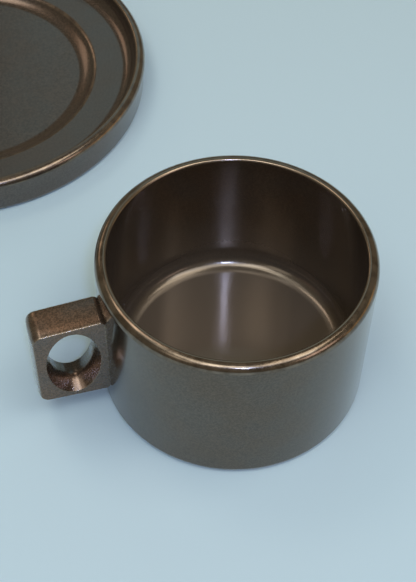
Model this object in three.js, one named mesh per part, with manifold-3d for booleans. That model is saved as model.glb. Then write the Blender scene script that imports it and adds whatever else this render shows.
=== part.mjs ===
// A stoneware cup with a block handle, standing beside the saucer that is made for it.
// Millimetres, +Z up. The set stands on z = 0, with its origin at the middle of the ground it covers.

import * as THREE from 'three';
import { mergeVertices } from 'three/addons/utils/BufferGeometryUtils.js';
import Module from 'manifold-3d';

// Cup
const CUP_RADIUS = 44;
const CUP_HEIGHT = 57;
const CUP_WALL = 3.8;
const CUP_FLOOR = 4.7;
const CUP_FLOOR_CORNER = 6;
const CUP_BASE_EDGE = 2.8;
const CUP_LIP_OUTER_ROUND = 2.4;
const CUP_LIP_INNER_ROUND = 1.2;
const CUP_FOOT_WIDTH = 5;
const CUP_FOOT_HEIGHT = 1.5;

// Handle: an upright block with an oval finger hole, stuck to the wall with slip. It flares up and down
// towards the wall, and its sides fall off softly towards its front and back.
const HANDLE_REACH = 22.8;
const HANDLE_HEIGHT = 33.6;
const HANDLE_THICKNESS = 11.2;
const HANDLE_RAISE = 10.5;
const HANDLE_FLARE = 1.4;
const HANDLE_CORNER = 3.4;
const HANDLE_EDGE_FALL = 0.6;
const HANDLE_EDGE_DEPTH = 2.5;
const HANDLE_OUTER_POST = 3.5;
const HANDLE_INNER_POST = 1.8;
const HANDLE_BAR = 2.5;
const SLIP_SEAM = 0.3;

// Saucer: a shallow tray whose sunk middle takes the foot of the cup
const SAUCER_HEIGHT = 15.6;
const SAUCER_WALL = 3.8;
const SAUCER_FLOOR = 3.4;
const SAUCER_FOOT_WIDTH = 8;
const SAUCER_FOOT_HEIGHT = 1.6;
const SAUCER_BASE_EDGE = 2.5;
const SAUCER_DRAFT = 1.2;
const SAUCER_LIP_OUTER_ROUND = 2.2;
const SAUCER_LIP_INNER_ROUND = 1.4;
const SAUCER_CORNER = 6;
const WELL_CLEARANCE = 1;
const STEP_WIDTH = 10.5;
const STEP_HEIGHT = 3;
const LEDGE_WIDTH = 10;

// How the two stand beside each other
const STANDING_GAP = 58;
const SAUCER_BEARING = THREE.MathUtils.degToRad(111.5);

// The step between the saucer's well and ledge has a long cove and a short shoulder: shares of its width
const STEP_COVE = 0.57;
const STEP_SHOULDER = 0.14;

// One satin metallic glaze covers all three pieces, a little browner on the handle
const GLAZE_ROUGHNESS = 0.3;
const GLAZE_METALNESS = 0.9;
const CUP_COLOUR = 0x6a5f58;
const HANDLE_COLOUR = 0x735c50;
const SAUCER_COLOUR = 0x6a625c;

// Fineness of the round shapes
const TURN_STEPS = 64;
const ARC_STEPS = 3;
const HOLE_STEPS = 14;
const EDGE_STEPS = 3;

// Angles at which the arcs of an outline start and end
const RIGHT = 0;
const UP = Math.PI / 2;
const DOWN = -Math.PI / 2;
const LEFT = Math.PI;

const wasm = await Module();
wasm.setup();

function glaze(color) {
  return new THREE.MeshStandardMaterial({ color, roughness: GLAZE_ROUGHNESS, metalness: GLAZE_METALNESS });
}

// Turns a profile that starts and ends on the axis into a solid that stands along Z.
function turned(profile) {
  const geometry = new THREE.LatheGeometry(profile.getPoints(ARC_STEPS), TURN_STEPS);
  return geometry.rotateX(Math.PI / 2);
}

function toSolid(geometry) {
  const bare = geometry.clone();
  bare.deleteAttribute('normal');
  bare.deleteAttribute('uv');
  const merged = mergeVertices(bare);
  const mesh = new wasm.Mesh({
    numProp: 3,
    vertProperties: Float32Array.from(merged.getAttribute('position').array),
    triVerts: Uint32Array.from(merged.index.array),
  });
  return new wasm.Manifold(mesh);
}

function toGeometry(solid) {
  const mesh = solid.getMesh();
  const geometry = new THREE.BufferGeometry();
  geometry.setAttribute('position', new THREE.BufferAttribute(mesh.vertProperties, 3));
  geometry.setIndex(new THREE.BufferAttribute(mesh.triVerts, 1));
  geometry.computeVertexNormals();
  return geometry;
}

// The cup is a straight-sided pot: a foot ring, a round base edge, a plain wall and a soft lip.
function cupProfile() {
  const inner = CUP_RADIUS - CUP_WALL;
  const floor = CUP_FOOT_HEIGHT + CUP_FLOOR;
  const footOuter = CUP_RADIUS - CUP_BASE_EDGE;
  const footInner = footOuter - CUP_FOOT_WIDTH;
  const lipOuter = CUP_HEIGHT - CUP_LIP_OUTER_ROUND;
  const lipInner = CUP_HEIGHT - CUP_LIP_INNER_ROUND;
  const profile = new THREE.Path();
  profile.moveTo(0, CUP_FOOT_HEIGHT);
  profile.lineTo(footInner - CUP_FOOT_HEIGHT, CUP_FOOT_HEIGHT);
  profile.lineTo(footInner, 0);
  profile.lineTo(footOuter, 0);
  profile.absarc(footOuter, CUP_BASE_EDGE, CUP_BASE_EDGE, DOWN, RIGHT, false);
  profile.lineTo(CUP_RADIUS, lipOuter);
  profile.absarc(CUP_RADIUS - CUP_LIP_OUTER_ROUND, lipOuter, CUP_LIP_OUTER_ROUND, RIGHT, UP, false);
  profile.lineTo(inner + CUP_LIP_INNER_ROUND, CUP_HEIGHT);
  profile.absarc(inner + CUP_LIP_INNER_ROUND, lipInner, CUP_LIP_INNER_ROUND, UP, LEFT, false);
  profile.lineTo(inner, floor + CUP_FLOOR_CORNER);
  profile.absarc(inner - CUP_FLOOR_CORNER, floor + CUP_FLOOR_CORNER, CUP_FLOOR_CORNER, RIGHT, DOWN, true);
  profile.lineTo(0, floor);
  return profile;
}

// The side view of the handle, with x measured out from the cup's axis. Its inner end is buried in the
// wall and is then cut back to the wall's curve.
function handleOutline() {
  const buried = CUP_RADIUS - HANDLE_THICKNESS / 2;
  const end = CUP_RADIUS + HANDLE_REACH;
  const bottom = HANDLE_RAISE;
  const top = HANDLE_RAISE + HANDLE_HEIGHT;
  const outline = new THREE.Shape();
  outline.moveTo(buried, bottom - HANDLE_FLARE);
  outline.lineTo(end - HANDLE_CORNER, bottom);
  outline.absarc(end - HANDLE_CORNER, bottom + HANDLE_CORNER, HANDLE_CORNER, DOWN, RIGHT, false);
  outline.lineTo(end, top - HANDLE_CORNER);
  outline.absarc(end - HANDLE_CORNER, top - HANDLE_CORNER, HANDLE_CORNER, RIGHT, UP, false);
  outline.lineTo(buried, top + HANDLE_FLARE);
  outline.closePath();

  const holeStart = CUP_RADIUS + HANDLE_INNER_POST;
  const holeEnd = end - HANDLE_OUTER_POST;
  const hole = new THREE.Path();
  hole.absellipse(
    (holeStart + holeEnd) / 2, (bottom + top) / 2,
    (holeEnd - holeStart) / 2, HANDLE_HEIGHT / 2 - HANDLE_BAR,
    0, 2 * Math.PI, true,
  );
  outline.holes.push(hole);
  return outline;
}

function handleGeometry() {
  const block = new THREE.ExtrudeGeometry(handleOutline(), {
    depth: HANDLE_THICKNESS - 2 * HANDLE_EDGE_DEPTH,
    curveSegments: HOLE_STEPS,
    bevelThickness: HANDLE_EDGE_DEPTH,
    bevelSize: HANDLE_EDGE_FALL,
    bevelOffset: -HANDLE_EDGE_FALL,
    bevelSegments: EDGE_STEPS,
  });
  block.translate(0, 0, HANDLE_EDGE_DEPTH - HANDLE_THICKNESS / 2);
  block.rotateX(Math.PI / 2);
  block.rotateZ(Math.PI);

  // The wall's curve, with the seam added, runs well past both ends of the block that it cuts.
  const seat = CUP_RADIUS + SLIP_SEAM;
  const wall = new THREE.CylinderGeometry(seat, seat, 2 * CUP_HEIGHT, TURN_STEPS);
  wall.rotateX(Math.PI / 2);
  wall.translate(0, 0, CUP_HEIGHT / 2);
  return toGeometry(toSolid(block).subtract(toSolid(wall)));
}

// The saucer's radii add up from the well that takes the cup, out to the rim.
const wellRadius = CUP_RADIUS + WELL_CLEARANCE;
const stepRadius = wellRadius + STEP_WIDTH;
const saucerInner = stepRadius + LEDGE_WIDTH + SAUCER_CORNER;
const saucerRadius = saucerInner + SAUCER_WALL;

// The saucer is a tray: foot ring, leaning outer wall, soft lip, coved inner wall, flat ledge, well.
function saucerProfile() {
  const well = SAUCER_FOOT_HEIGHT + SAUCER_FLOOR;
  const ledge = well + STEP_HEIGHT;
  const baseRadius = saucerRadius - SAUCER_DRAFT;
  const footOuter = baseRadius - SAUCER_BASE_EDGE;
  const footInner = footOuter - SAUCER_FOOT_WIDTH;
  const lipOuter = SAUCER_HEIGHT - SAUCER_LIP_OUTER_ROUND;
  const lipInner = SAUCER_HEIGHT - SAUCER_LIP_INNER_ROUND;
  const corner = Math.min(SAUCER_CORNER, lipInner - ledge);
  const lipInnerMiddle = saucerInner + SAUCER_LIP_INNER_ROUND;
  const cove = new THREE.Vector2(wellRadius + STEP_COVE * STEP_WIDTH, well);
  const shoulder = new THREE.Vector2(stepRadius - STEP_SHOULDER * STEP_WIDTH, ledge);
  const slope = cove.clone().lerp(shoulder, STEP_COVE / (STEP_COVE + STEP_SHOULDER));
  const profile = new THREE.Path();
  profile.moveTo(0, SAUCER_FOOT_HEIGHT);
  profile.lineTo(footInner - SAUCER_FOOT_HEIGHT, SAUCER_FOOT_HEIGHT);
  profile.lineTo(footInner, 0);
  profile.lineTo(footOuter, 0);
  profile.absarc(footOuter, SAUCER_BASE_EDGE, SAUCER_BASE_EDGE, DOWN, RIGHT, false);
  profile.lineTo(saucerRadius, lipOuter);
  profile.absarc(saucerRadius - SAUCER_LIP_OUTER_ROUND, lipOuter, SAUCER_LIP_OUTER_ROUND, RIGHT, UP, false);
  profile.lineTo(lipInnerMiddle, SAUCER_HEIGHT);
  profile.absarc(lipInnerMiddle, lipInner, SAUCER_LIP_INNER_ROUND, UP, LEFT, false);
  profile.lineTo(saucerInner, ledge + corner);
  profile.absarc(saucerInner - corner, ledge + corner, corner, RIGHT, DOWN, true);
  profile.lineTo(stepRadius, ledge);
  profile.quadraticCurveTo(shoulder.x, shoulder.y, slope.x, slope.y);
  profile.quadraticCurveTo(cove.x, cove.y, wellRadius, well);
  profile.lineTo(0, well);
  return profile;
}

const cupBody = new THREE.Mesh(turned(cupProfile()), glaze(CUP_COLOUR));
cupBody.name = 'cup_body';

const cupHandle = new THREE.Mesh(handleGeometry(), glaze(HANDLE_COLOUR));
cupHandle.name = 'cup_handle';

const cup = new THREE.Group();
cup.add(cupBody, cupHandle);

const saucer = new THREE.Mesh(turned(saucerProfile()), glaze(SAUCER_COLOUR));
saucer.name = 'saucer';
const standingDistance = CUP_RADIUS + STANDING_GAP + saucerRadius;
saucer.position.x = standingDistance * Math.cos(SAUCER_BEARING);
saucer.position.y = standingDistance * Math.sin(SAUCER_BEARING);

// Centres the set over the ground it covers.
const cupWithSaucer = new THREE.Group();
cupWithSaucer.add(cup, saucer);
const middle = new THREE.Box3().setFromObject(cupWithSaucer, true).getCenter(new THREE.Vector3());
cupWithSaucer.position.set(-middle.x, -middle.y, 0);

export default cupWithSaucer;
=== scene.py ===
# A stoneware cup with a block handle, beside the saucer that is made for it.
# Metres, +Z up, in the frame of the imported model.

import math

import bmesh
import bpy
from mathutils import Matrix, Vector


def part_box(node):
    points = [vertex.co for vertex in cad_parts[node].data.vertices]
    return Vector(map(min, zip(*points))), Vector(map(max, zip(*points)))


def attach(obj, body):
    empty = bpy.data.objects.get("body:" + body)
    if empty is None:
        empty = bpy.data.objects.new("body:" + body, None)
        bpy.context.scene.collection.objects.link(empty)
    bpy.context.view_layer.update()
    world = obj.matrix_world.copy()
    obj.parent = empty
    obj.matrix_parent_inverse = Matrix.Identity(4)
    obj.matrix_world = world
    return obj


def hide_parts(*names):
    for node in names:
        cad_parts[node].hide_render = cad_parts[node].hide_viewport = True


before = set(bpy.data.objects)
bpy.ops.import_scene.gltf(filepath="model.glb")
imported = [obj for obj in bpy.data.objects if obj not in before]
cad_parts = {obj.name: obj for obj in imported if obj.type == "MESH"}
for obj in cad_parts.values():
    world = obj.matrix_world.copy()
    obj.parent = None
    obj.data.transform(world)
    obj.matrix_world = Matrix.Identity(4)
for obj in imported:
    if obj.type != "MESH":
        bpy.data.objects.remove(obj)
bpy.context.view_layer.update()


# Cup body
# A straight-sided pot of stoneware, cast in one piece with its foot ring, wall and soft lip.
# It is dipped in a dark bronze glaze that fires to a satin metal, and its foot is wiped bare.

CUP_WALL = 0.0038
CUP_FLOOR = 0.0062
CUP_FLOOR_CORNER = 0.006
CUP_BASE_EDGE = 0.0028
CUP_LIP_OUTER_ROUND = 0.0028
CUP_LIP_INNER_ROUND = 0.0009
CUP_FOOT_WIDTH = 0.005
CUP_FOOT_HEIGHT = 0.0015

cup_low, cup_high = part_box("cup_body")
cup_axis = Vector(((cup_low.x + cup_high.x) / 2, (cup_low.y + cup_high.y) / 2, 0))
cup_radius = (cup_high.x - cup_low.x) / 2
cup_height = cup_high.z

TURN_STEPS = 160
ROUND_STEPS = 8
TOUCHING = 1e-6
SMOOTH_UP_TO = math.radians(35)


def finish_edges(piece):
    """Notes how much a piece bulges at each place, and shades it smooth across its rounded edges."""
    bpy.ops.object.mode_set(mode="OBJECT")
    shape = bmesh.new()
    shape.from_mesh(piece.data)
    bulge = shape.verts.layers.float.new("bulge")
    for point in shape.verts:
        ground = sum(face.calc_area() / len(face.verts) for face in point.link_faces)
        bend = sum(edge.calc_face_angle_signed(0) * edge.calc_length() for edge in point.link_edges)
        # The mean curvature, per metre: an edge's two ends share its bend, and half of that counts.
        point[bulge] = bend / 2 / 2 / ground
    shape.to_mesh(piece.data)
    shape.free()

    bpy.ops.object.shade_smooth_by_angle(angle=SMOOTH_UP_TO)
    piece.modifiers.new("Flat faces", "WEIGHTED_NORMAL").keep_sharp = True
    bpy.ops.object.modifier_apply(modifier="Flat faces")


def turn_pot(name, axis, section):
    """Turns half a section about its axis. Each corner is a radius, a height and how far it is rounded."""
    bpy.ops.object.select_all(action="DESELECT")
    bpy.ops.mesh.primitive_plane_add(size=cup_radius)
    pot = bpy.context.object
    pot.name = name
    bpy.ops.object.mode_set(mode="EDIT")
    bpy.ops.mesh.select_mode(type="VERT")
    bpy.ops.mesh.merge(type="CENTER")

    corners = [axis + Vector((radius, 0, height)) for radius, height, rounding in section]
    bpy.ops.transform.translate(value=corners[0])
    for here, there in zip(corners, corners[1:]):
        bpy.ops.mesh.extrude_vertices_move(TRANSFORM_OT_translate={"value": there - here})

    for corner, (radius, height, rounding) in zip(corners, section):
        if rounding == 0:
            continue
        outline = bmesh.from_edit_mesh(pot.data)
        for point in outline.verts:
            point.select_set((point.co - corner).length < TOUCHING)
        bmesh.update_edit_mesh(pot.data)
        bpy.ops.mesh.bevel(offset=rounding, segments=ROUND_STEPS, affect="VERTICES")

    bpy.ops.mesh.select_all(action="SELECT")
    bpy.ops.mesh.spin(steps=TURN_STEPS, angle=math.tau, center=axis, axis=(0, 0, 1))
    bpy.ops.mesh.select_all(action="SELECT")
    bpy.ops.mesh.remove_doubles(threshold=TOUCHING)
    bpy.ops.mesh.normals_make_consistent(inside=False)
    finish_edges(pot)
    return pot


cup_inner = cup_radius - CUP_WALL
cup_foot_inner = cup_radius - CUP_BASE_EDGE - CUP_FOOT_WIDTH
cup_body = turn_pot("cup_body_glazed", cup_axis, [
    (0, CUP_FOOT_HEIGHT, 0),
    (cup_foot_inner - CUP_FOOT_HEIGHT, CUP_FOOT_HEIGHT, 0),
    (cup_foot_inner, 0, 0),
    (cup_radius, 0, CUP_BASE_EDGE),
    (cup_radius, cup_height, CUP_LIP_OUTER_ROUND),
    (cup_inner, cup_height, CUP_LIP_INNER_ROUND),
    (cup_inner, CUP_FLOOR, CUP_FLOOR_CORNER),
    (0, CUP_FLOOR, 0),
])

# The glaze is a dark bronze metal under a clear gloss, clouded in patches of grey and brown and sown with
# fine specks. It turns pale over edges, partly where it runs thin and partly as a painted highlight. A mask
# lays painted light in the cup and painted shade in the handle's hole, in colours less like metal, and the
# glaze is wiped off the foot up to an uneven line.
GLAZE_CLOUD_SCALE = 70
GLAZE_SPECK_SCALE = 1500
GLAZE_RIPPLE_SCALE = 260
NOISE_MIDDLE = (0.35, 0.65)
NOISE_MOST = (0.3, 0.7)
SPECK_STRENGTH = (0.82, 1.18)
SPECK_BUMP_SHARE = 0.25
GLAZE_BUMP = 0.02
GLAZE_BUMP_DEPTH = 0.0003
GLAZE_METALLIC = 0.86
GLAZE_GLOSS = 0.6
GLOSS_ROUGHNESS = 0.1
GLOSS_IOR = 1.3
PAINTED_SHADING_METALLIC = 0.45
THIN_AND_HIGHLIT_FROM_BULGE = 70
THIN_AND_HIGHLIT_AT_BULGE = 330
THIN_AND_HIGHLIT_BREAK = (0.6, 1.4)
THIN_GLAZE_AND_HIGHLIGHT_BRONZE = (0.25, 0.195, 0.145, 1)
BARE_CLAY = (0.30, 0.20, 0.13, 1)
BARE_CLAY_ROUGHNESS = 0.85
FOOT_BARE_BELOW = 0.0002
FOOT_GLAZED_ABOVE = 0.0004
FOOT_LINE_BREAK = (0.7, 1.3)


def add_node(tree, kind, feeds, **settings):
    """Adds a node and feeds its sockets with plain values or with what comes out of other nodes."""
    node = tree.nodes.new(kind)
    for setting, value in settings.items():
        setattr(node, setting, value)
    for socket, feed in feeds.items():
        if isinstance(feed, bpy.types.NodeSocket):
            tree.links.new(feed, node.inputs[socket])
        else:
            node.inputs[socket].default_value = feed
    return node


def spread(tree, value, start, end, low, high):
    """Turns the stretch of a value from start to end into one from low to high, evenly eased."""
    return add_node(tree, "ShaderNodeMapRange", {
        "Value": value, "From Min": start, "From Max": end, "To Min": low, "To Max": high,
    }, interpolation_type="SMOOTHSTEP").outputs["Result"]


def multiply(tree, first, second):
    """Multiplies two values."""
    return add_node(tree, "ShaderNodeMath", {0: first, 1: second},
                    operation="MULTIPLY").outputs["Value"]


def blend(tree, share, first, second):
    """Mixes two colours."""
    return add_node(tree, "ShaderNodeMix", {"Factor": share, "A": first, "B": second},
                    data_type="RGBA").outputs["Result"]


def along(tree, place, axis):
    """How far along X, Y or Z a place is."""
    return add_node(tree, "ShaderNodeSeparateXYZ", {"Vector": place}).outputs[axis]


def off_middle(tree, place, middle, scale):
    """How far a place is off a middle, with each direction measured at its own scale."""
    shift = [-part * size for part, size in zip(middle, scale)]
    moved = add_node(tree, "ShaderNodeMapping", {"Vector": place, "Location": shift, "Scale": scale})
    return add_node(tree, "ShaderNodeVectorMath", {0: moved.outputs["Vector"]},
                    operation="LENGTH").outputs["Value"]


glaze_group = bpy.data.node_groups.new("Bronze glaze", "ShaderNodeTree")
for socket_name, socket_type in [("Place", "NodeSocketVector"), ("Bulge", "NodeSocketFloat"),
                                 ("Painted shading", "NodeSocketFloat"), ("Painted shading bronze", "NodeSocketColor"),
                                 ("Grey bronze", "NodeSocketColor"), ("Brown bronze", "NodeSocketColor"),
                                 ("Smooth", "NodeSocketFloat"), ("Rough", "NodeSocketFloat")]:
    glaze_group.interface.new_socket(socket_name, in_out="INPUT", socket_type=socket_type)
for socket_name, socket_type in [("Colour", "NodeSocketColor"), ("Roughness", "NodeSocketFloat"),
                                 ("Metallic", "NodeSocketFloat"), ("Gloss", "NodeSocketFloat"),
                                 ("Height", "NodeSocketFloat")]:
    glaze_group.interface.new_socket(socket_name, in_out="OUTPUT", socket_type=socket_type)
glaze_in = glaze_group.nodes.new("NodeGroupInput").outputs


def glaze_noise(scale, detail):
    """A pattern of soft blots on the glaze, about 1 / scale metres apart."""
    return add_node(glaze_group, "ShaderNodeTexNoise", {
        "Vector": glaze_in["Place"], "Scale": scale, "Detail": detail}).outputs["Fac"]


clouds = glaze_noise(GLAZE_CLOUD_SCALE, detail=4)
specks = glaze_noise(GLAZE_SPECK_SCALE, detail=1)
ripples = glaze_noise(GLAZE_RIPPLE_SCALE, detail=2)

cloud_share = spread(glaze_group, clouds, *NOISE_MIDDLE, 0, 1)
clouded = blend(glaze_group, cloud_share, glaze_in["Grey bronze"], glaze_in["Brown bronze"])
speck_strength = spread(glaze_group, specks, *NOISE_MOST, *SPECK_STRENGTH)
speckled = add_node(glaze_group, "ShaderNodeVectorMath", {"Vector": clouded, "Scale": speck_strength},
                    operation="SCALE").outputs["Vector"]

# Edges turn paler where they bulge: partly the glaze running thin, partly a painted highlight.
edge_break = spread(glaze_group, ripples, *NOISE_MOST, *THIN_AND_HIGHLIT_BREAK)
broken_bulge = multiply(glaze_group, glaze_in["Bulge"], edge_break)
thin_glaze_and_highlight = spread(glaze_group, broken_bulge, THIN_AND_HIGHLIT_FROM_BULGE, THIN_AND_HIGHLIT_AT_BULGE, 0, 1)
thinned_and_highlit = blend(glaze_group, thin_glaze_and_highlight, speckled, THIN_GLAZE_AND_HIGHLIGHT_BRONZE)
# Painted light and shade: where the mask says, the bronze gives way to a colour of its own.
with_painted_shading = blend(glaze_group, glaze_in["Painted shading"], thinned_and_highlit, glaze_in["Painted shading bronze"])
metallic_with_painted_shading = spread(glaze_group, glaze_in["Painted shading"], 0, 1, GLAZE_METALLIC, PAINTED_SHADING_METALLIC)

line_break = spread(glaze_group, ripples, *NOISE_MOST, *FOOT_LINE_BREAK)
uneven_height = multiply(glaze_group, along(glaze_group, glaze_in["Place"], "Z"), line_break)
bareness = spread(glaze_group, uneven_height, FOOT_BARE_BELOW, FOOT_GLAZED_ABOVE, 1, 0)
glaze_roughness = spread(glaze_group, specks, *NOISE_MIDDLE, glaze_in["Smooth"], glaze_in["Rough"])

add_node(glaze_group, "NodeGroupOutput", {
    "Colour": blend(glaze_group, bareness, with_painted_shading, BARE_CLAY),
    "Roughness": spread(glaze_group, bareness, 0, 1, glaze_roughness, BARE_CLAY_ROUGHNESS),
    "Metallic": spread(glaze_group, bareness, 0, 1, metallic_with_painted_shading, 0),
    "Gloss": spread(glaze_group, bareness, 0, 1, GLAZE_GLOSS, 0),
    "Height": add_node(glaze_group, "ShaderNodeMath", {0: specks, 1: SPECK_BUMP_SHARE, 2: ripples},
                       operation="MULTIPLY_ADD").outputs["Value"],
})


def bronze_glaze(name, grey_bronze, brown_bronze, smooth, rough):
    """A material with the bronze glaze on it, between two shades of bronze and two roughnesses."""
    material = bpy.data.materials.new(name)
    material.use_nodes = True
    tree = material.node_tree
    surface = tree.nodes["Principled BSDF"]
    surface.inputs["Coat Roughness"].default_value = GLOSS_ROUGHNESS
    surface.inputs["Coat IOR"].default_value = GLOSS_IOR

    place = add_node(tree, "ShaderNodeTexCoord", {})
    bulging = add_node(tree, "ShaderNodeAttribute", {}, attribute_name="bulge")
    glaze = add_node(tree, "ShaderNodeGroup", {}, node_tree=glaze_group)
    glaze.inputs["Grey bronze"].default_value = grey_bronze
    glaze.inputs["Brown bronze"].default_value = brown_bronze
    glaze.inputs["Smooth"].default_value = smooth
    glaze.inputs["Rough"].default_value = rough
    bump = add_node(tree, "ShaderNodeBump", {
        "Strength": GLAZE_BUMP, "Distance": GLAZE_BUMP_DEPTH, "Height": glaze.outputs["Height"]})
    for source, target in [(place.outputs["Object"], glaze.inputs["Place"]),
                           (bulging.outputs["Fac"], glaze.inputs["Bulge"]),
                           (glaze.outputs["Colour"], surface.inputs["Base Color"]),
                           (glaze.outputs["Roughness"], surface.inputs["Roughness"]),
                           (glaze.outputs["Metallic"], surface.inputs["Metallic"]),
                           (glaze.outputs["Gloss"], surface.inputs["Coat Weight"]),
                           (bump.outputs["Normal"], surface.inputs["Normal"])]:
        tree.links.new(source, target)
    return material


def paint_light_and_shade(tree, where, painted_bronze):
    """Lays painted light and shade on the glaze where a mask says so, in a colour of its own."""
    glaze = tree.nodes["Group"]
    glaze.inputs["Painted shading bronze"].default_value = painted_bronze
    tree.links.new(where, glaze.inputs["Painted shading"])


# In the cup the floor is painted paler, and the inside wall less and less so going up: painted light,
# standing for light thrown about inside the cup.
PAINTED_LIGHT_EDGE = 0.00095
PAINTED_LIGHT_UP_WALL = 0.6
PAINTED_LIGHT_FULL_BELOW = 0.010
PAINTED_LIGHT_ENDS_ABOVE = 0.040

cup_glaze = bronze_glaze(
    "Cup glaze", grey_bronze=(0.124, 0.098, 0.074, 1), brown_bronze=(0.130, 0.094, 0.064, 1),
    smooth=0.16, rough=0.21)
cup_tree = cup_glaze.node_tree
cup_place = cup_tree.nodes["Texture Coordinate"].outputs["Object"]
off_axis = off_middle(cup_tree, cup_place, cup_axis, scale=(1, 1, 0))
on_floor = spread(cup_tree, off_axis, cup_inner, cup_inner - CUP_FLOOR_CORNER, 0, 1)
inside = spread(cup_tree, off_axis, cup_inner + PAINTED_LIGHT_EDGE, cup_inner, 0, 1)
low_down = spread(cup_tree, along(cup_tree, cup_place, "Z"),
                  PAINTED_LIGHT_ENDS_ABOVE, PAINTED_LIGHT_FULL_BELOW, 0, PAINTED_LIGHT_UP_WALL)
low_wall = multiply(cup_tree, inside, low_down)
painted_light_mask = add_node(cup_tree, "ShaderNodeMath", {0: on_floor, 1: low_wall},
                              operation="MAXIMUM").outputs["Value"]
# The paler bronze on the floor and low wall is painted light.
paint_light_and_shade(cup_tree, painted_light_mask, painted_bronze=(0.155, 0.122, 0.090, 1))

cup_body.data.materials.append(cup_glaze)
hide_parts("cup_body")
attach(cup_body, "cup")


# Handle
# A block of clay with an oval hole for one finger, cut by itself and softened, so that its sides fall off
# towards its front and back and the hole opens out. It grows a little taller to where it is stuck to the
# leather-hard wall with slip, and a soft groove is left there.

HANDLE_OUTER_HEIGHT = 0.0336
HANDLE_CORNER = 0.0034
HANDLE_EDGE_FALL = 0.0006
HANDLE_EDGE_DEPTH = 0.0038
HANDLE_OUTER_POST = 0.0035
HANDLE_INNER_POST = 0.0018
HANDLE_BAR = 0.0018
HANDLE_ROOT_ROUND = 0.0024
HOLE_FRONT_SLOPE = math.tan(math.radians(30))
HOLE_BACK_SLOPE = math.tan(math.radians(19))
HOLE_SIDE_SHARE = 0.75
HOLE_WAIST_DEPTH = 0.0054
HOLE_WAIST_ROUND = 0.0014
HOLE_RIM_ROUND = 0.0004
HOLE_RIM_STEPS = 3
HOLE_RIM_SHARPER_THAN = math.radians(25)
EDGE_STEPS = 9
SPOOL_STEPS = 12
HOLE_STEPS = 96

handle_low, handle_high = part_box("cup_handle")
handle_middle = (handle_low + handle_high) / 2
handle_thickness = handle_high.y - handle_low.y
half_thickness = handle_thickness / 2
handle_height = handle_high.z - handle_low.z


def fallen(distance):
    """How far a side has fallen back, at a distance in front of the handle's middle."""
    past_flat = max(distance - half_thickness + HANDLE_EDGE_DEPTH, 0) / HANDLE_EDGE_DEPTH
    return HANDLE_EDGE_FALL * (1 - math.sqrt(1 - past_flat ** 2))


def flared(place):
    """How far the hole has opened at a place behind the handle's middle, or before it if below 0."""
    past_waist = place + half_thickness - HOLE_WAIST_DEPTH
    slope = HOLE_FRONT_SLOPE if past_waist < 0 else HOLE_BACK_SLOPE
    return slope * (math.hypot(past_waist, HOLE_WAIST_ROUND) - HOLE_WAIST_ROUND)


# The side view of the block is a plane that runs just into the wall. Its outer corners are brought in to
# the lower height and rounded, and its corners at the wall are rounded too, which leaves the groove. It
# grows forwards from the middle, drawn in at each step, and is mirrored.
wall_sag = cup_radius - math.sqrt(cup_radius ** 2 - half_thickness ** 2)
handle_root = cup_axis.x - cup_radius + wall_sag + HANDLE_EDGE_FALL
bpy.ops.object.select_all(action="DESELECT")
bpy.ops.mesh.primitive_plane_add(
    size=1, rotation=(math.pi / 2, 0, 0),
    location=((handle_low.x + handle_root) / 2, handle_middle.y, handle_middle.z))
handle = bpy.context.object
handle.name = "cup_handle_glazed"
handle.scale = (handle_root - handle_low.x, handle_height, 1)
bpy.ops.object.transform_apply(location=False, rotation=True, scale=True)

bpy.ops.object.mode_set(mode="EDIT")
bpy.ops.mesh.select_mode(type="VERT")
side_view = bmesh.from_edit_mesh(handle.data)
for point in side_view.verts:
    point.select_set(point.co.x < 0)
bmesh.update_edit_mesh(handle.data)
bpy.ops.transform.resize(value=(1, 1, HANDLE_OUTER_HEIGHT / handle_height))
bpy.ops.mesh.bevel(offset=HANDLE_CORNER, segments=ROUND_STEPS, affect="VERTICES")
side_view = bmesh.from_edit_mesh(handle.data)
for point in side_view.verts:
    point.select_set(point.co.x > 0)
bmesh.update_edit_mesh(handle.data)
bpy.ops.mesh.bevel(offset=HANDLE_ROOT_ROUND, segments=ROUND_STEPS, affect="VERTICES")

bpy.ops.mesh.select_all(action="SELECT")
edge_turns = [math.pi / 2 * step / EDGE_STEPS for step in range(EDGE_STEPS + 1)]
distances = [0] + [half_thickness - HANDLE_EDGE_DEPTH * (1 - math.sin(turn)) for turn in edge_turns]
for nearer, further in zip(distances, distances[1:]):
    bpy.ops.mesh.inset(thickness=fallen(further) - fallen(nearer), depth=further - nearer)
bpy.ops.object.mode_set(mode="OBJECT")

back_half = handle.modifiers.new("Back half", "MIRROR")
back_half.use_axis = (False, True, False)
back_half.merge_threshold = TOUCHING
bpy.ops.object.modifier_apply(modifier="Back half")
bpy.ops.object.transform_apply(location=True)
bpy.ops.object.mode_set(mode="EDIT")
bpy.ops.mesh.select_all(action="SELECT")
bpy.ops.mesh.normals_make_consistent(inside=False)
bpy.ops.object.mode_set(mode="OBJECT")

# The finger hole is cut with an oval spool that sticks out half a step at both ends. Its waist is nearer to
# the front, and it flares more up and down than sideways. The rim of the hole is rounded.
hole_start = handle_low.x + HANDLE_OUTER_POST
hole_end = cup_axis.x - cup_radius - HANDLE_INNER_POST
hole_middle = Vector(((hole_start + hole_end) / 2, handle_middle.y, handle_middle.z))
hole_width = hole_end - hole_start
hole_height = HANDLE_OUTER_HEIGHT - 2 * HANDLE_BAR
waist_width = hole_width - 2 * HOLE_SIDE_SHARE * flared(-half_thickness)
waist_height = hole_height - 2 * flared(-half_thickness)
spool_step = handle_thickness / (2 * SPOOL_STEPS - 1)
spool_places = [step * spool_step for step in range(-SPOOL_STEPS, SPOOL_STEPS + 1)]
spool_widths = [waist_width + 2 * HOLE_SIDE_SHARE * flared(place) for place in spool_places]
spool_heights = [waist_height + 2 * flared(place) for place in spool_places]

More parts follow.
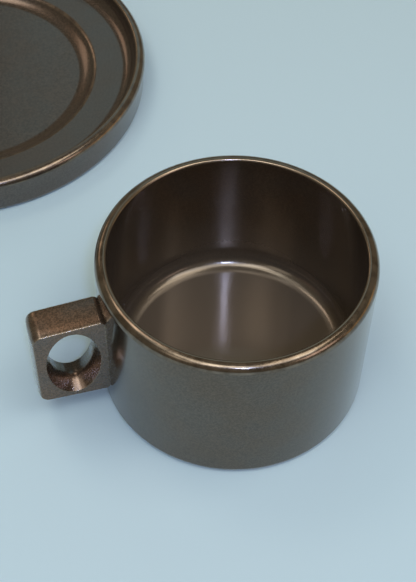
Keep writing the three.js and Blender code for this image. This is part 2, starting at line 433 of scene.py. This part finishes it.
bpy.ops.object.select_all(action="DESELECT")
bpy.ops.mesh.primitive_circle_add(
    vertices=HOLE_STEPS, radius=0.5, fill_type="NGON", rotation=(math.pi / 2, 0, 0),
    location=hole_middle + Vector((0, spool_places[0], 0)))
spool = bpy.context.object
spool.scale = (spool_widths[0], spool_heights[0], 1)
bpy.ops.object.transform_apply(location=True, rotation=True, scale=True)
bpy.ops.object.mode_set(mode="EDIT")
bpy.ops.mesh.select_all(action="SELECT")
for step in range(1, len(spool_places)):
    wider = spool_widths[step] / spool_widths[step - 1]
    taller = spool_heights[step] / spool_heights[step - 1]
    bpy.ops.mesh.extrude_region_move(TRANSFORM_OT_translate={"value": (0, spool_step, 0)})
    bpy.ops.transform.resize(value=(wider, 1, taller), center_override=hole_middle)
bpy.ops.mesh.select_all(action="SELECT")
bpy.ops.mesh.normals_make_consistent(inside=False)
bpy.ops.object.mode_set(mode="OBJECT")

bpy.ops.object.select_all(action="DESELECT")
bpy.context.view_layer.objects.active = handle
handle.select_set(True)
finger_hole = handle.modifiers.new("Finger hole", "BOOLEAN")
finger_hole.operation = "DIFFERENCE"
finger_hole.object = spool
bpy.ops.object.modifier_apply(modifier="Finger hole")
bpy.data.objects.remove(spool)
soft_rim = handle.modifiers.new("Soft rim", "BEVEL")
soft_rim.width = HOLE_RIM_ROUND
soft_rim.segments = HOLE_RIM_STEPS
soft_rim.limit_method = "ANGLE"
soft_rim.angle_limit = HOLE_RIM_SHARPER_THAN
bpy.ops.object.modifier_apply(modifier="Soft rim")
finish_edges(handle)

# The glaze is thinner and browner on the handle. The hole is painted dark from about its waist on, measured
# from the front, as painted shade.
# The edge of the painted shade is given in shares of the size of the hole.
HOLE_SHADE_FROM = 0.0045
HOLE_SHADE_FULL = 0.0065
HOLE_SHADE_EDGE = (1.03, 0.99)

handle_glaze = bronze_glaze(
    "Handle glaze", grey_bronze=(0.155, 0.116, 0.092, 1), brown_bronze=(0.185, 0.120, 0.082, 1),
    smooth=0.24, rough=0.31)
handle_tree = handle_glaze.node_tree
handle_place = handle_tree.nodes["Texture Coordinate"].outputs["Object"]
off_hole = off_middle(handle_tree, handle_place, hole_middle, scale=(2 / hole_width, 0, 2 / hole_height))
in_hole = spread(handle_tree, off_hole, *HOLE_SHADE_EDGE, 0, 1)
from_waist_on = spread(handle_tree, along(handle_tree, handle_place, "Y"),
                       handle_low.y + HOLE_SHADE_FROM, handle_low.y + HOLE_SHADE_FULL, 0, 1)
painted_hole_shade = multiply(handle_tree, in_hole, from_waist_on)
# The dark bronze in the hole is painted shade.
paint_light_and_shade(handle_tree, painted_hole_shade, painted_bronze=(0.040, 0.032, 0.025, 1))

handle.data.materials.append(handle_glaze)
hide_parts("cup_handle")
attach(handle, "cup")


# Saucer
# A shallow stoneware tray with a soft lip, a flat ledge and a sunk well that takes the cup's foot.
# It is turned in one piece and glazed like the cup.

SAUCER_WALL = 0.0038
SAUCER_FLOOR = 0.005
SAUCER_FOOT_WIDTH = 0.008
SAUCER_FOOT_HEIGHT = 0.0016
SAUCER_BASE_EDGE = 0.0025
SAUCER_DRAFT = 0.0012
SAUCER_LIP_OUTER_ROUND = 0.0026
SAUCER_LIP_INNER_ROUND = 0.001
SAUCER_CORNER = 0.006
WELL_CLEARANCE = 0.001
STEP_WIDTH = 0.0105
STEP_HEIGHT = 0.003
STEP_COVE = 0.0062
STEP_SHOULDER = 0.001
STEP_COVE_ROUND = 0.0037
STEP_SHOULDER_ROUND = 0.0009

saucer_low, saucer_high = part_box("saucer")
saucer_axis = Vector(((saucer_low.x + saucer_high.x) / 2, (saucer_low.y + saucer_high.y) / 2, 0))
saucer_radius = (saucer_high.x - saucer_low.x) / 2
saucer_height = saucer_high.z
saucer_inner = saucer_radius - SAUCER_WALL
saucer_base = saucer_radius - SAUCER_DRAFT
saucer_foot_inner = saucer_base - SAUCER_BASE_EDGE - SAUCER_FOOT_WIDTH
saucer_ledge = SAUCER_FLOOR + STEP_HEIGHT
well_radius = cup_radius + WELL_CLEARANCE
step_radius = well_radius + STEP_WIDTH

saucer = turn_pot("saucer_glazed", saucer_axis, [
    (0, SAUCER_FOOT_HEIGHT, 0),
    (saucer_foot_inner - SAUCER_FOOT_HEIGHT, SAUCER_FOOT_HEIGHT, 0),
    (saucer_foot_inner, 0, 0),
    (saucer_base, 0, SAUCER_BASE_EDGE),
    (saucer_radius, saucer_height - SAUCER_LIP_OUTER_ROUND, 0),
    (saucer_radius, saucer_height, SAUCER_LIP_OUTER_ROUND),
    (saucer_inner, saucer_height, SAUCER_LIP_INNER_ROUND),
    (saucer_inner, saucer_ledge, SAUCER_CORNER),
    (step_radius - STEP_SHOULDER, saucer_ledge, STEP_SHOULDER_ROUND),
    (well_radius + STEP_COVE, SAUCER_FLOOR, STEP_COVE_ROUND),
    (0, SAUCER_FLOOR, 0),
])
saucer.data.materials.append(bronze_glaze(
    "Saucer glaze", grey_bronze=(0.146, 0.119, 0.103, 1), brown_bronze=(0.150, 0.114, 0.094, 1),
    smooth=0.20, rough=0.26))
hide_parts("saucer")
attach(saucer, "saucer")


# Table
# The plain top that the set stands on, painted a matt pale blue.
# It is one flat round sheet, wide enough to reach past the set in every view.

TABLE_RADIUS = 4
TABLE_STEPS = 64
TABLE_BLUE = (0.55, 0.725, 0.815, 1)
TABLE_ROUGHNESS = 0.8
TABLE_SHINE = 0.2

bpy.ops.object.select_all(action="DESELECT")
bpy.ops.mesh.primitive_circle_add(vertices=TABLE_STEPS, radius=TABLE_RADIUS, fill_type="NGON")
table = bpy.context.object
table.name = "table"
table_paint = bpy.data.materials.new("Pale blue table")
table_paint.use_nodes = True
table_surface = table_paint.node_tree.nodes["Principled BSDF"]
table_surface.inputs["Base Color"].default_value = TABLE_BLUE
table_surface.inputs["Roughness"].default_value = TABLE_ROUGHNESS
table_surface.inputs["Specular IOR Level"].default_value = TABLE_SHINE
table.data.materials.append(table_paint)


# Studio light
# Soft boxes hang high over the right, the left and the viewer's side of the table, and weaker panels stand
# lower down around it. A small cool lamp shines over the viewer's shoulder, and the rest of the room is dim
# and brown.

VIEW_ANGLE = math.radians(-17.5)
ROOM_BROWN = (0.17, 0.15, 0.10, 1)

view_turn = Matrix.Rotation(VIEW_ANGLE, 3, "Z")


def hang_lamp(name, bearing, elevation, distance, width, height, light):
    """Hangs a lamp that faces the cup, whose face is as bright in red, green and blue as its light says.

    Bearings are seen from the cup, in degrees: 0 is the viewer's right, and 90 is away from the viewer.
    """
    brightest = max(light)
    lamp = bpy.data.lights.new(name, "AREA")
    lamp.shape = "RECTANGLE"
    lamp.size = width
    lamp.size_y = height
    lamp.energy = brightest * math.pi * width * height
    lamp.color = [part / brightest for part in light]
    hung = bpy.data.objects.new(name, lamp)
    bpy.context.collection.objects.link(hung)
    turn = math.radians(bearing)
    rise = math.radians(elevation)
    towards = Vector((math.cos(turn) * math.cos(rise), math.sin(turn) * math.cos(rise), math.sin(rise)))
    away = view_turn @ towards * distance
    hung.location = cup_axis + away
    hung.rotation_euler = (-away).to_track_quat("-Z", "Y").to_euler()
    hung.visible_camera = False


for bearing, elevation, light in [(0, 69, (3.2, 3.0, 2.6)),
                                  (232, 69, (2.4, 2.4, 2.2)),
                                  (175, 68, (0.9, 0.9, 0.83))]:
    hang_lamp("soft_box", bearing, elevation, distance=1.2, width=0.5, height=0.4, light=light)
hang_lamp("front_soft_box", bearing=288, elevation=67, distance=1.2, width=1.3, height=0.36,
          light=(2.7, 2.75, 2.75))
hang_lamp("far_left_box", bearing=138, elevation=62, distance=1.2, width=0.3, height=0.3,
          light=(3.3, 2.8, 2.35))
hang_lamp("right_panel", bearing=-30, elevation=30, distance=1.6, width=0.7, height=0.5,
          light=(2.05, 1.63, 1.54))
hang_lamp("left_panel", bearing=228, elevation=42, distance=1.6, width=0.5, height=0.5,
          light=(1.0, 0.95, 0.85))
hang_lamp("far_left_panel", bearing=130, elevation=30, distance=1.6, width=0.45, height=0.3,
          light=(1.3, 0.95, 0.7))
hang_lamp("far_panel", bearing=90, elevation=40, distance=1.6, width=0.75, height=0.75,
          light=(0.18, 0.33, 0.40))
hang_lamp("warm_lamp", bearing=5, elevation=8, distance=1.6, width=1.0, height=0.4,
          light=(0.77, 0.49, 0.21))
hang_lamp("cool_lamp", bearing=-81, elevation=54, distance=1.0, width=0.06, height=0.06,
          light=(74, 98, 176))

room = bpy.data.worlds.new("Room")
bpy.context.scene.world = room
room.use_nodes = True
room.node_tree.nodes["Background"].inputs["Color"].default_value = ROOM_BROWN


# Camera
# It looks down on the cup from in front, turned a little so that the handle points left and the saucer
# runs out of the frame behind it.

CAMERA_PLACE = Vector((-0.00872, -0.23997, 0.33602))
CAMERA_ELEVATION = math.radians(51.144)
CAMERA_ROLL = math.radians(1.115)
FOCAL_LENGTH_PIXELS = 1200
FRAME_HEIGHT_PIXELS = 582
NEAREST_SEEN = 0.01

lens = bpy.data.cameras.new("camera")
lens.lens = FOCAL_LENGTH_PIXELS / FRAME_HEIGHT_PIXELS * lens.sensor_width
lens.clip_start = NEAREST_SEEN
camera = bpy.data.objects.new("camera", lens)
bpy.context.collection.objects.link(camera)
camera.location = cup_axis + view_turn @ CAMERA_PLACE
camera_turn = (view_turn
               @ Matrix.Rotation(math.pi / 2 - CAMERA_ELEVATION, 3, "X")
               @ Matrix.Rotation(CAMERA_ROLL, 3, "Z"))
camera.rotation_euler = camera_turn.to_euler()
bpy.context.scene.camera = camera
bpy.context.scene.view_settings.view_transform = "Standard"
